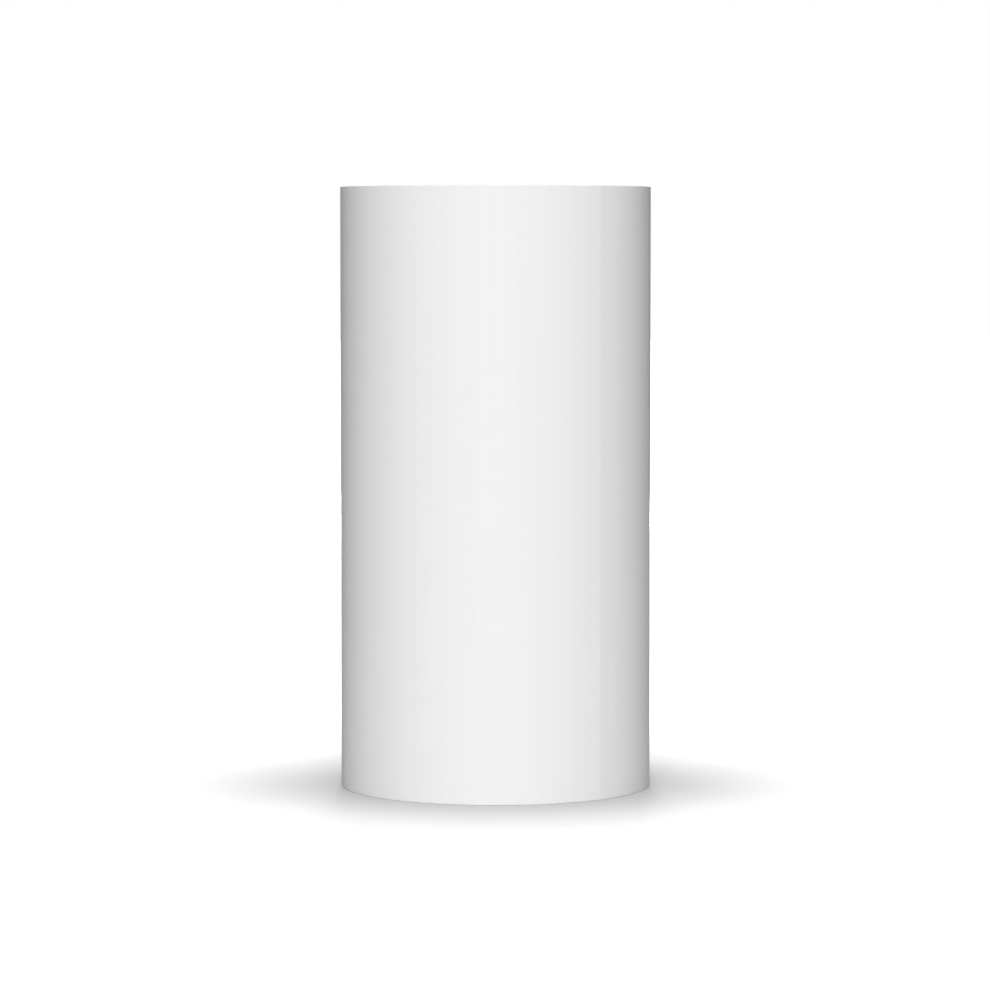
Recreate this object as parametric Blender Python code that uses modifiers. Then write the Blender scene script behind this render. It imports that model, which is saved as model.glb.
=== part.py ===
"""A facade column segment: one plain round length of shaft, moulded in rigid foam as a hollow tube.

It stands upright on its lower end, with its axis on Z and the middle of the lower end at the origin.
The front is towards -Y. Azimuths are measured from the front, towards +X. All sizes are in metres.
"""

import math

import bmesh
import bpy
from mathutils import Matrix

# The driving dimensions
SEGMENT_HEIGHT = 0.600
OUTER_DIAMETER = 0.310
WALL_THICKNESS = 0.030
ARRIS_RADIUS = 0.0010  # rounding of the four edges round the two ends

# The two parting lines of the mould, opposite each other, where the outside comes up to a low crest
PARTING_AZIMUTH = math.radians(41.1)
PARTING_CREST = 0.00038  # how far the crest stands out of the round
PARTING_SPREAD = 0.0135  # how far round from the crest the surface is lifted

# How finely the round is divided. An even number of sides puts a corner on both parting lines
SIDES = 240
ARRIS_STEPS = 2
ARRIS_LIMIT = math.radians(60.0)  # only edges that turn more sharply than this are rounded
SMOOTH_LIMIT = math.radians(4.0)  # the crest turns more sharply than this and is shaded as an edge

OUTER_RADIUS = OUTER_DIAMETER / 2
BORE_RADIUS = OUTER_RADIUS - WALL_THICKNESS


def clear_scene():
    for obj in list(bpy.data.objects):
        bpy.data.objects.remove(obj, do_unlink=True)


def make_collection(name):
    collection = bpy.data.collections.new(name)
    bpy.context.scene.collection.children.link(collection)
    return collection


def white_primer():
    """The white primer that the whole moulding is finished in."""
    material = bpy.data.materials.new("white primer")
    material.use_nodes = True
    shader = material.node_tree.nodes["Principled BSDF"]
    shader.inputs["Base Color"].default_value = (0.84, 0.84, 0.84, 1.0)
    shader.inputs["Roughness"].default_value = 0.55
    shader.inputs["Metallic"].default_value = 0.0
    return material


def distance_to_parting_line(azimuth):
    """The length round the outside from an azimuth to the nearer of the two parting lines."""
    turn = (azimuth - PARTING_AZIMUTH) % math.pi
    return OUTER_RADIUS * min(turn, math.pi - turn)


def crest_height(azimuth):
    """The outside rises to the parting line along a parabola, which meets its mirror image in a crease."""
    share = distance_to_parting_line(azimuth) / PARTING_SPREAD
    return PARTING_CREST * (1.0 - min(share, 1.0)) ** 2


def add_circle(bm, radius):
    """A circle on the floor plane, turned until its first vertex is on a parting line. Returns its edges."""
    to_parting_line = Matrix.Rotation(PARTING_AZIMUTH, 4, "Z")
    made = bmesh.ops.create_circle(bm, segments=SIDES, radius=radius, matrix=to_parting_line)
    verts = set(made["verts"])
    return [edge for edge in bm.edges if edge.verts[0] in verts]


def raise_crests(edges):
    """Moves the outer circle's vertices out to the two crests."""
    for vert in {vert for edge in edges for vert in edge.verts}:
        azimuth = math.atan2(vert.co.x, -vert.co.y)
        vert.co *= 1.0 + crest_height(azimuth) / OUTER_RADIUS


def tube_mesh():
    """The ring-shaped section, drawn up to the segment's height."""
    bm = bmesh.new()
    outside = add_circle(bm, OUTER_RADIUS)
    bore = add_circle(bm, BORE_RADIUS)
    raise_crests(outside)
    ring = bmesh.ops.bridge_loops(bm, edges=outside + bore)["faces"]
    drawn = bmesh.ops.extrude_face_region(bm, geom=ring, use_keep_orig=True)
    upper = [item for item in drawn["geom"] if isinstance(item, bmesh.types.BMVert)]
    bmesh.ops.translate(bm, verts=upper, vec=(0.0, 0.0, SEGMENT_HEIGHT))
    bmesh.ops.recalc_face_normals(bm, faces=bm.faces)
    mesh = bpy.data.meshes.new("shaft_segment")
    bm.to_mesh(mesh)
    bm.free()
    mesh.shade_smooth()
    mesh.set_sharp_from_angle(angle=SMOOTH_LIMIT)
    return mesh


def make_shaft_segment(collection):
    segment = bpy.data.objects.new("shaft_segment", tube_mesh())
    segment.data.materials.append(white_primer())
    collection.objects.link(segment)
    arris = segment.modifiers.new("arris", "BEVEL")
    arris.limit_method = "ANGLE"
    arris.angle_limit = ARRIS_LIMIT
    arris.width = ARRIS_RADIUS
    arris.segments = ARRIS_STEPS
    return segment


def main():
    clear_scene()
    make_shaft_segment(make_collection("facade column segment"))


main()
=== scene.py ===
import math

import bpy
import numpy as np
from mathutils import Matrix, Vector


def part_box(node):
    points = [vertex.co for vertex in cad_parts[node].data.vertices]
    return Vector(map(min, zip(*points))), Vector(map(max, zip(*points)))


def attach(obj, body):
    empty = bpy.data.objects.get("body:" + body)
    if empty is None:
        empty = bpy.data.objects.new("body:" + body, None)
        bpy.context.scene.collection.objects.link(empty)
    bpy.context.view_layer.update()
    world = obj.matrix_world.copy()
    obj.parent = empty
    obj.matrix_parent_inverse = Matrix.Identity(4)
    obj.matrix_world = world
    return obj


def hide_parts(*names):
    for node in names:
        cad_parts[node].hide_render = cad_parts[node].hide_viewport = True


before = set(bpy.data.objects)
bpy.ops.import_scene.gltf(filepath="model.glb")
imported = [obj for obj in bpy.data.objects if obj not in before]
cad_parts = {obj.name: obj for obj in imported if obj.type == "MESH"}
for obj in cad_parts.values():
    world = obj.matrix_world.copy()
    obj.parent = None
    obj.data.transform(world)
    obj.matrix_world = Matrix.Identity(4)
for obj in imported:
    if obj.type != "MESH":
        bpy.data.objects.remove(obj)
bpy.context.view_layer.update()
print("frame loaded:", ", ".join(sorted(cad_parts)))


# Shaft segment: the whole tube is one closed skin, a ring-shaped section carried round the axis
shaft = {
    "columns": 640,                        # how many times the section is repeated round the axis
    "wallRows": 80,                        # rows up the outside
    "boreRows": 24,                        # rows down the bore
    "endRows": 12,                         # rows across each end face
    "arrisSteps": 5,                       # steps round each of the four rounded edges
    "arris": 0.0007,                       # radius of those edges, in metres
    "crestSpread": 0.0135,                 # how far round from a parting line the outside is lifted
    "waveDepth": 0.00002,                  # the most that the outside wanders in, as a rubbed-down one does
    "waveLengths": (0.065, 0.032, 0.019),  # of that wandering, round the outside
    "waveLean": 0.15,                      # how far a wave shifts on its way up, in radians of its phase
    "leanRate": 2.2,                       # radians that the shift's own sine runs through, foot to top
    "swell": 0.6,                          # share of its height that a wave loses and regains going round
    "swellCount": 3,                       # how many times it does so
    "seed": 7,
}
faces = {"outside": 0, "end": 1, "bore": 2}  # the numbers are also the order of the finishes


def readFrame(node):
    # the ring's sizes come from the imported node: its radii, its height and where its crest stands
    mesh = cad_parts[node].data
    points = np.empty(len(mesh.vertices) * 3, np.float32)
    mesh.vertices.foreach_get("co", points)
    points = points.reshape(-1, 3).astype(float)
    radii = np.hypot(points[:, 0], points[:, 1])
    low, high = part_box(node)
    outer = (high.x - low.x) / 2
    ridge = points[radii.argmax()]
    return {
        "outer": outer,
        "bore": radii.min(),
        "bottom": low.z,
        "top": high.z,
        "crest": radii.max() - outer,
        "partingLine": math.atan2(ridge[0], -ridge[1]) % math.pi,
    }


def eased(start, end, count):
    # from start to end, closer together near both, where the rounded edges begin
    share = (1 - np.cos(np.linspace(0, math.pi, count))) / 2
    return start + (end - start) * share


def ringSection(ring):
    # the section's rows as (radius, height, face), once round: up the outside, in over the top,
    # down the bore and out along the bottom, with a quarter circle at each corner
    edge = shaft["arris"]
    outer, bore, bottom, top = (ring[name] for name in ("outer", "bore", "bottom", "top"))
    wallRows, boreRows, endRows = (shaft[name] for name in ("wallRows", "boreRows", "endRows"))
    quarter = np.linspace(0, math.pi / 2, shaft["arrisSteps"] + 1)[1:-1]
    falling, rising = edge * np.cos(quarter), edge * np.sin(quarter)
    runs = [
        (np.full(wallRows, outer), eased(bottom + edge, top - edge, wallRows), "outside"),
        (outer - edge + falling, top - edge + rising, "outside"),
        (eased(outer - edge, bore + edge, endRows), np.full(endRows, top), "end"),
        (bore + edge - rising, top - edge + falling, "bore"),
        (np.full(boreRows, bore), eased(top - edge, bottom + edge, boreRows), "bore"),
        (bore + edge - falling, bottom + edge - rising, "bore"),
        (eased(bore + edge, outer - edge, endRows), np.full(endRows, bottom), "end"),
        (outer - edge + rising, bottom + edge - falling, "outside"),
    ]
    radius = np.concatenate([run[0] for run in runs])
    height = np.concatenate([run[1] for run in runs])
    face = np.concatenate([np.full(len(run[0]), faces[run[2]]) for run in runs])
    return radius, height, face


def crestHeight(turn, ring):
    # a parabola that falls from the parting line to nothing at crestSpread, on both sides of both lines
    away = np.abs((turn - ring["partingLine"] + math.pi / 2) % math.pi - math.pi / 2)
    share = np.clip(1 - away * ring["outer"] / shaft["crestSpread"], 0, 1)
    return ring["crest"] * share ** 2


def wander(turn, height, ring):
    # sines round the outside that die down and come back, each leaning a little on its way up,
    # added together and scaled to lie between -1 and 0
    rng = np.random.default_rng(shaft["seed"])
    share = (height - ring["bottom"]) / (ring["top"] - ring["bottom"])
    total = np.zeros(np.broadcast(turn, height).shape)
    for length in shaft["waveLengths"]:
        count = round(2 * math.pi * ring["outer"] / length)
        phase, drift, sway = rng.uniform(0, 2 * math.pi, 3)
        lean = shaft["waveLean"] * np.sin(shaft["leanRate"] * share + sway)
        strength = 1 - shaft["swell"] * (1 - np.sin(shaft["swellCount"] * turn + drift)) / 2
        total += np.sin(count * turn + phase + lean) * strength
    return total / (2 * len(shaft["waveLengths"])) - 0.5


def shaftSkin(ring):
    # a point is (radius + lift) * (sin turn, -cos turn) at its height, and the lift is
    # crest + wander on the outside, fading to none at the bore
    radius, height, face = ringSection(ring)
    turn = ring["partingLine"] + np.arange(shaft["columns"]) * 2 * math.pi / shaft["columns"]
    turn, radius, height = turn[:, None], radius[None, :], height[None, :]
    outwards = (radius - ring["bore"]) / (ring["outer"] - ring["bore"])
    lift = crestHeight(turn, ring) + shaft["waveDepth"] * wander(turn, height, ring)
    reach = radius + lift * outwards
    points = np.stack([
        reach * np.sin(turn),
        -reach * np.cos(turn),
        np.broadcast_to(height, reach.shape),
    ], axis=-1)
    return points, face


def wrappedQuads(columns, rows):
    # quads of a grid that closes on itself both ways, wound so that they face outwards
    column, row = np.meshgrid(np.arange(columns), np.arange(rows), indexing="ij")
    here = column * rows + row
    above = column * rows + (row + 1) % rows
    beside = (column + 1) % columns * rows + row
    corner = (column + 1) % columns * rows + (row + 1) % rows
    return np.stack([here, beside, corner, above], axis=-1).reshape(-1, 4)


def fillMesh(name, points, quads):
    # a mesh from an array of points and an array of each quad's four point numbers
    mesh = bpy.data.meshes.new(name)
    mesh.vertices.add(len(points))
    mesh.vertices.foreach_set("co", points.astype(np.float32).ravel())
    mesh.loops.add(quads.size)
    mesh.loops.foreach_set("vertex_index", quads.astype(np.int32).ravel())
    mesh.polygons.add(len(quads))
    mesh.polygons.foreach_set("loop_start", np.arange(len(quads), dtype=np.int32) * 4)
    mesh.update(calc_edges=True)
    mesh.validate()
    return mesh


def creaseCrests(mesh, columns, rows, face):
    # the edges up the outside along the two parting lines are sharp, so the tone steps there
    ends = np.empty(len(mesh.edges) * 2, np.int32)
    mesh.edges.foreach_get("vertices", ends)
    column, row = np.divmod(ends.reshape(-1, 2), rows)
    onLine = (column % (columns // 2) == 0).all(axis=1) & (column[:, 0] == column[:, 1])
    sharp = onLine & (face[row] == faces["outside"]).all(axis=1)
    mesh.attributes.new("sharp_edge", "BOOLEAN", "EDGE").data.foreach_set("value", sharp)


def makeShaft(ring, finishes):
    points, face = shaftSkin(ring)
    columns, rows = points.shape[:2]
    mesh = fillMesh("shaftSegment", points.reshape(-1, 3), wrappedQuads(columns, rows))
    for finish in finishes:
        mesh.materials.append(finish)
    # a rounded edge is finished as the wall that it belongs to
    finishOfRow = np.where(face == faces["end"], np.roll(face, -1), face)
    mesh.polygons.foreach_set("material_index", np.tile(finishOfRow, columns).astype(np.int32))
    mesh.shade_smooth()
    creaseCrests(mesh, columns, rows, face)
    piece = bpy.data.objects.new("shaftSegment", mesh)
    bpy.context.scene.collection.objects.link(piece)
    return piece


# Finishes: white primer outside, trimmed foam on the ends, the mould's own skin in the bore.
# A range is where a noise's value starts and ends its effect. Sizes, depths and reaches are in metres.
primer = {
    "white": (0.84, 0.84, 0.84),
    "shade": (0.825, 0.825, 0.825),  # of the faint streaks that run up the shaft
    "streaks": {"size": 0.007, "detail": 3.0, "stretch": 130, "coarse": 0.7},
    "streakRange": (0.35, 0.7),
    "patches": {"size": 0.05},       # where it dried a little smoother or rougher
    "patchRange": (0.3, 0.7),
    "roughness": (0.58, 0.70),
    "gloss": 0.12,
    "stipple": {"size": 0.0011, "detail": 3.0},
    "stippleDepth": 0.00001,
}
foam = {
    "pale": (0.80, 0.785, 0.745),
    "paintedPoreShade": (0.66, 0.64, 0.595),     # painted shade inside the open cells and the larger bubbles
    "cellSize": 0.0005,
    "cellRange": (0.1, 0.6),
    "cellDepth": 0.0002,
    "pitSize": 0.006,                # spacing of the larger bubbles
    "pitRange": (0.05, 0.16),
    "pitDepth": 0.0006,
    "skin": 0.0016,                  # width of the denser foam along both edges of the ring
    "skinFade": 0.0004,
    "overspray": 0.0012,             # the least that the primer has crept in over the end
    "oversprayFade": 0.0006,
    "creep": {"size": 0.004, "detail": 3.0},
    "creepReach": 0.002,             # how much further it goes at the most
    "sawPitch": 0.0028,
    "sawDepth": 0.00008,
    "sawWobble": 1.2,
    "sawWobbleSize": 0.6,
    "roughness": 0.8,
}
mouldSkin = {
    "pale": (0.80, 0.79, 0.76),
    "tint": (0.74, 0.73, 0.69),
    "clouds": {"size": 0.06, "detail": 3.0},
    "cloudRange": (0.35, 0.7),
    "drag": {"size": 0.003, "detail": 3.0, "stretch": 60},  # fine lines from drawing the core out
    "dragRange": (0.3, 0.7),
    "dragDepth": 0.00012,
    "roughness": (0.34, 0.5),
}


def startFinish(name):
    # a new material, with its node tree and its shader
    material = bpy.data.materials.new(name)
    material.use_nodes = True
    tree = material.node_tree
    return material, tree, tree.nodes["Principled BSDF"]


def addNode(tree, kind, inputs=(), **settings):
    # inputs are (socket, value or another node's output) pairs
    node = tree.nodes.new(kind)
    for name, value in settings.items():
        setattr(node, name, value)
    for socket, value in inputs:
        if isinstance(value, bpy.types.NodeSocket):
            tree.links.new(value, node.inputs[socket])
        else:
            node.inputs[socket].default_value = value
    return node


def objectPlace(tree):
    return addNode(tree, "ShaderNodeTexCoord").outputs["Object"]


def worked(tree, operation, *values):
    # a Math node on numbers or on other nodes' outputs
    return addNode(tree, "ShaderNodeMath", enumerate(values), operation=operation).outputs["Value"]


def lengthOf(tree, vector):
    return addNode(tree, "ShaderNodeVectorMath", [(0, vector)], operation="LENGTH").outputs["Value"]


def grain(tree, place, size, detail=2.0, stretch=None, coarse=0.5):
    # a noise whose lumps are about the given size in metres, drawn out along the axis by stretch
    # and broken up by finer ones, which are stronger where coarse is near 1
    if stretch:
        squeeze = addNode(tree, "ShaderNodeMapping", [("Vector", place), ("Scale", (1, 1, 1 / stretch))])
        place = squeeze.outputs["Vector"]
    return addNode(tree, "ShaderNodeTexNoise", [
        ("Vector", place), ("Scale", 1 / size), ("Detail", detail), ("Roughness", coarse),
    ]).outputs["Fac"]


def bubbles(tree, place, spacing):
    # the distance to the nearest of many scattered points, as a share of their spacing
    return addNode(tree, "ShaderNodeTexVoronoi", [
        ("Vector", place), ("Scale", 1 / spacing),
    ]).outputs["Distance"]


def sawLines(tree, place):
    # bands sawPitch apart, bent a little as a hand-guided blade leaves them
    pitchAtScaleOne = 2 * math.pi / 20  # how far apart a wave texture's bands are at scale 1
    return addNode(tree, "ShaderNodeTexWave", [
        ("Vector", place), ("Scale", pitchAtScaleOne / foam["sawPitch"]), ("Distortion", foam["sawWobble"]),
        ("Detail Scale", foam["sawWobbleSize"]),
    ]).outputs["Fac"]


def ramp(tree, value, low, high, toLow=0.0, toHigh=1.0):
    # straight from toLow at low to toHigh at high, and level beyond
    return addNode(tree, "ShaderNodeMapRange", [
        ("Value", value), ("From Min", low), ("From Max", high), ("To Min", toLow), ("To Max", toHigh),
    ]).outputs["Result"]


def blendColours(tree, share, first, second):
    # a mix of two colours, each a tuple or a node's output
    node = addNode(tree, "ShaderNodeMix", data_type="RGBA")
    sockets = [socket for socket in node.inputs if socket.type == "RGBA"]
    tree.links.new(share, node.inputs["Factor"])
    for socket, colour in zip(sockets, (first, second)):
        if isinstance(colour, bpy.types.NodeSocket):
            tree.links.new(colour, socket)
        else:
            socket.default_value = (*colour, 1)
    return next(socket for socket in node.outputs if socket.type == "RGBA")


def raised(tree, height, depth, below=None):
    # a bump whose full height is depth in metres, laid over the one below if there is one
    inputs = [("Height", height), ("Distance", depth), ("Strength", 1.0)]
    if below is not None:
        inputs.append(("Normal", below))
    return addNode(tree, "ShaderNodeBump", inputs).outputs["Normal"]


def primerFinish():
    material, tree, shader = startFinish("whitePrimer")
    place = objectPlace(tree)
    streaks = ramp(tree, grain(tree, place, **primer["streaks"]), *primer["streakRange"])
    colour = blendColours(tree, streaks, primer["white"], primer["shade"])
    tree.links.new(colour, shader.inputs["Base Color"])
    patches = grain(tree, place, **primer["patches"])
    roughness = ramp(tree, patches, *primer["patchRange"], *primer["roughness"])
    tree.links.new(roughness, shader.inputs["Roughness"])
    shader.inputs["Specular IOR Level"].default_value = primer["gloss"]
    stipple = raised(tree, grain(tree, place, **primer["stipple"]), primer["stippleDepth"])
    tree.links.new(stipple, shader.inputs["Normal"])
    return material


def foamFinish(ring):
    # radius is a point's distance from the axis, so both end faces read the same
    material, tree, shader = startFinish("trimmedFoam")
    place = objectPlace(tree)
    apart = addNode(tree, "ShaderNodeSeparateXYZ", [("Vector", place)])
    level = addNode(tree, "ShaderNodeCombineXYZ", [("X", apart.outputs["X"]), ("Y", apart.outputs["Y"])])
    radius = lengthOf(tree, level.outputs["Vector"])
    cells = ramp(tree, bubbles(tree, place, foam["cellSize"]), *foam["cellRange"])
    pits = ramp(tree, bubbles(tree, place, foam["pitSize"]), *foam["pitRange"])
    # the cells and the larger bubbles are darkened with painted shade
    colour = blendColours(tree, cells, foam["paintedPoreShade"], foam["pale"])
    colour = blendColours(tree, pits, foam["paintedPoreShade"], colour)
    middle = (ring["outer"] + ring["bore"]) / 2
    fromMiddle = worked(tree, "ABSOLUTE", worked(tree, "SUBTRACT", radius, middle))
    skinStart = ring["outer"] - middle - foam["skin"]
    skin = ramp(tree, fromMiddle, skinStart, skinStart + foam["skinFade"])
    colour = blendColours(tree, skin, colour, foam["pale"])
    creep = grain(tree, place, **foam["creep"])
    crept = worked(tree, "MULTIPLY_ADD", creep, foam["creepReach"], radius)
    sprayStart = ring["outer"] - foam["overspray"]
    sprayed = ramp(tree, crept, sprayStart, sprayStart + foam["oversprayFade"])
    colour = blendColours(tree, sprayed, colour, primer["white"])
    tree.links.new(colour, shader.inputs["Base Color"])
    shader.inputs["Roughness"].default_value = foam["roughness"]
    sawn = raised(tree, sawLines(tree, place), foam["sawDepth"])
    celled = raised(tree, cells, foam["cellDepth"], sawn)
    tree.links.new(raised(tree, pits, foam["pitDepth"], celled), shader.inputs["Normal"])
    return material


def boreFinish():
    material, tree, shader = startFinish("mouldedSkin")
    place = objectPlace(tree)
    clouds = ramp(tree, grain(tree, place, **mouldSkin["clouds"]), *mouldSkin["cloudRange"])
    colour = blendColours(tree, clouds, mouldSkin["pale"], mouldSkin["tint"])
    tree.links.new(colour, shader.inputs["Base Color"])
    drag = grain(tree, place, **mouldSkin["drag"])
    polish = ramp(tree, drag, *mouldSkin["dragRange"], *mouldSkin["roughness"])
    tree.links.new(polish, shader.inputs["Roughness"])
    tree.links.new(raised(tree, drag, mouldSkin["dragDepth"]), shader.inputs["Normal"])
    return material


ring = readFrame("shaft_segment")
print("sizes from the frame:", {name: round(float(value), 5) for name, value in ring.items()})
finishes = [primerFinish(), foamFinish(ring), boreFinish()]
print("finishes:", ", ".join(finish.name for finish in finishes))
segment = makeShaft(ring, finishes)
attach(segment, "root")
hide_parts("shaft_segment")
print("shaft segment:", len(segment.data.polygons), "quads")


# Studio: a pale floor, a strong wide lamp in front, a smaller one behind, two weak wide ones
# at the sides and a faint one straight above
studio = {
    "floorHalf": 18.0,
    "floorCells": 8,
    "floorColour": 0.62,        # as the camera sees it
    "paintedFloorGlow": (0.0, 1.0),    # painted glow added to what the camera sees, by the shaft and further out
    "paintedGlowReach": (0.16, 0.6),   # between these distances from the axis the painted glow grows
    "bounce": (0.345, 0.084),   # the floor's colour as it lights the shaft, close by and further out
    "bounceReach": (0.5, 2.2),  # between these distances it falls
    "bounceInside": 0.8,        # the floor's colour as it lights the bore
    "discLamps": (              # name, power in watts, width in metres, place
        ("frontLamp", 244.5, 2.9, (-0.04, -5.0, 1.6)),
        ("backLamp", 180.0, 1.3, (0.04, 4.5, 1.2)),
        ("leftLamp", 41.0, 4.4, (-4.6, 0.0, 2.2)),
        ("rightLamp", 41.0, 4.4, (4.6, 0.0, 2.2)),
    ),
    "topPower": 1.6,
    "topWidth": 24,             # in degrees, as seen from the shaft
}
view = {
    "distance": 3.9925,         # from the shaft's axis, in metres
    "height": 0.5476,           # above the floor
    "aimHeight": 0.2917,        # of the point that it looks at, on the axis
    "across": -0.0005,          # how far both are moved to the right
    "lens": 144.96,
    "sensor": 36.0,
}


def floorFinish(ring):
    # to the camera the floor is pale and a painted glow brightens it to white away from the shaft; as a
    # source of light it is darker
    material, tree, shader = startFinish("paleFloor")
    seen = addNode(tree, "ShaderNodeLightPath").outputs["Is Camera Ray"]
    away = lengthOf(tree, objectPlace(tree))
    bounce = ramp(tree, away, *studio["bounceReach"], *studio["bounce"])
    bounce = ramp(tree, away, ring["bore"], ring["outer"], studio["bounceInside"], bounce)
    colour = blendColours(tree, seen, bounce, (studio["floorColour"],) * 3)
    tree.links.new(colour, shader.inputs["Base Color"])
    # painted glow for the camera only: none by the shaft, full white further out, so the floor's shade
    # shows only close to the shaft
    lift = ramp(tree, away, *studio["paintedGlowReach"], *studio["paintedFloorGlow"])
    tree.links.new(worked(tree, "MULTIPLY", seen, lift), shader.inputs["Emission Strength"])
    shader.inputs["Emission Color"].default_value = (1, 1, 1, 1)
    shader.inputs["Roughness"].default_value = 1.0
    shader.inputs["Specular IOR Level"].default_value = 0.0
    return material


def makeFloor(ring):
    # a level square grid under the shaft
    half, cells = studio["floorHalf"], studio["floorCells"]
    sides = np.linspace(-half, half, cells + 1)
    x, y = np.meshgrid(sides, sides, indexing="ij")
    points = np.stack([x, y, np.full_like(x, ring["bottom"])], axis=-1).reshape(-1, 3)
    column, row = np.meshgrid(np.arange(cells), np.arange(cells), indexing="ij")
    here = column * (cells + 1) + row
    beside = here + cells + 1
    quads = np.stack([here, beside, beside + 1, here + 1], axis=-1).reshape(-1, 4)
    floor = bpy.data.objects.new("studioFloor", fillMesh("studioFloor", points, quads))
    floor.data.materials.append(floorFinish(ring))
    bpy.context.scene.collection.objects.link(floor)


def makeDiscLamp(name, power, width, place, aimHeight):
    # aimed at the axis and hidden from the camera
    lamp = bpy.data.lights.new(name, "AREA")
    lamp.shape = "DISK"
    lamp.size = width
    lamp.energy = power
    holder = bpy.data.objects.new(name, lamp)
    holder.location = place
    holder.rotation_mode = "QUATERNION"
    holder.rotation_quaternion = (Vector((0, 0, aimHeight)) - holder.location).to_track_quat("-Z", "Y")
    holder.visible_camera = False
    bpy.context.scene.collection.objects.link(holder)


def makeTopLamp():
    # an unturned sun lamp shines straight down
    lamp = bpy.data.lights.new("topLamp", "SUN")
    lamp.energy = studio["topPower"]
    lamp.angle = math.radians(studio["topWidth"])
    bpy.context.scene.collection.objects.link(bpy.data.objects.new("topLamp", lamp))


def makeSurround():
    # white to the camera, and no light of its own
    world = bpy.data.worlds.new("surround")
    world.use_nodes = True
    tree = world.node_tree
    seen = addNode(tree, "ShaderNodeLightPath").outputs["Is Camera Ray"]
    background = tree.nodes["Background"]
    background.inputs["Color"].default_value = (1, 1, 1, 1)
    tree.links.new(seen, background.inputs["Strength"])
    bpy.context.scene.world = world
    bpy.context.scene.view_settings.view_transform = "Standard"


def makeCamera(bottom):
    lens = bpy.data.cameras.new("camera")
    lens.lens = view["lens"]
    lens.sensor_width = view["sensor"]
    camera = bpy.data.objects.new("camera", lens)
    camera.location = (view["across"], -view["distance"], bottom + view["height"])
    aim = Vector((view["across"], 0, bottom + view["aimHeight"])) - camera.location
    camera.rotation_mode = "QUATERNION"
    camera.rotation_quaternion = aim.to_track_quat("-Z", "Y")
    bpy.context.scene.collection.objects.link(camera)
    bpy.context.scene.camera = camera


makeFloor(ring)
for lampValues in studio["discLamps"]:
    makeDiscLamp(*lampValues, (ring["bottom"] + ring["top"]) / 2)
makeTopLamp()
makeSurround()
makeCamera(ring["bottom"])
print("studio: floor, five lamps, surround and camera")
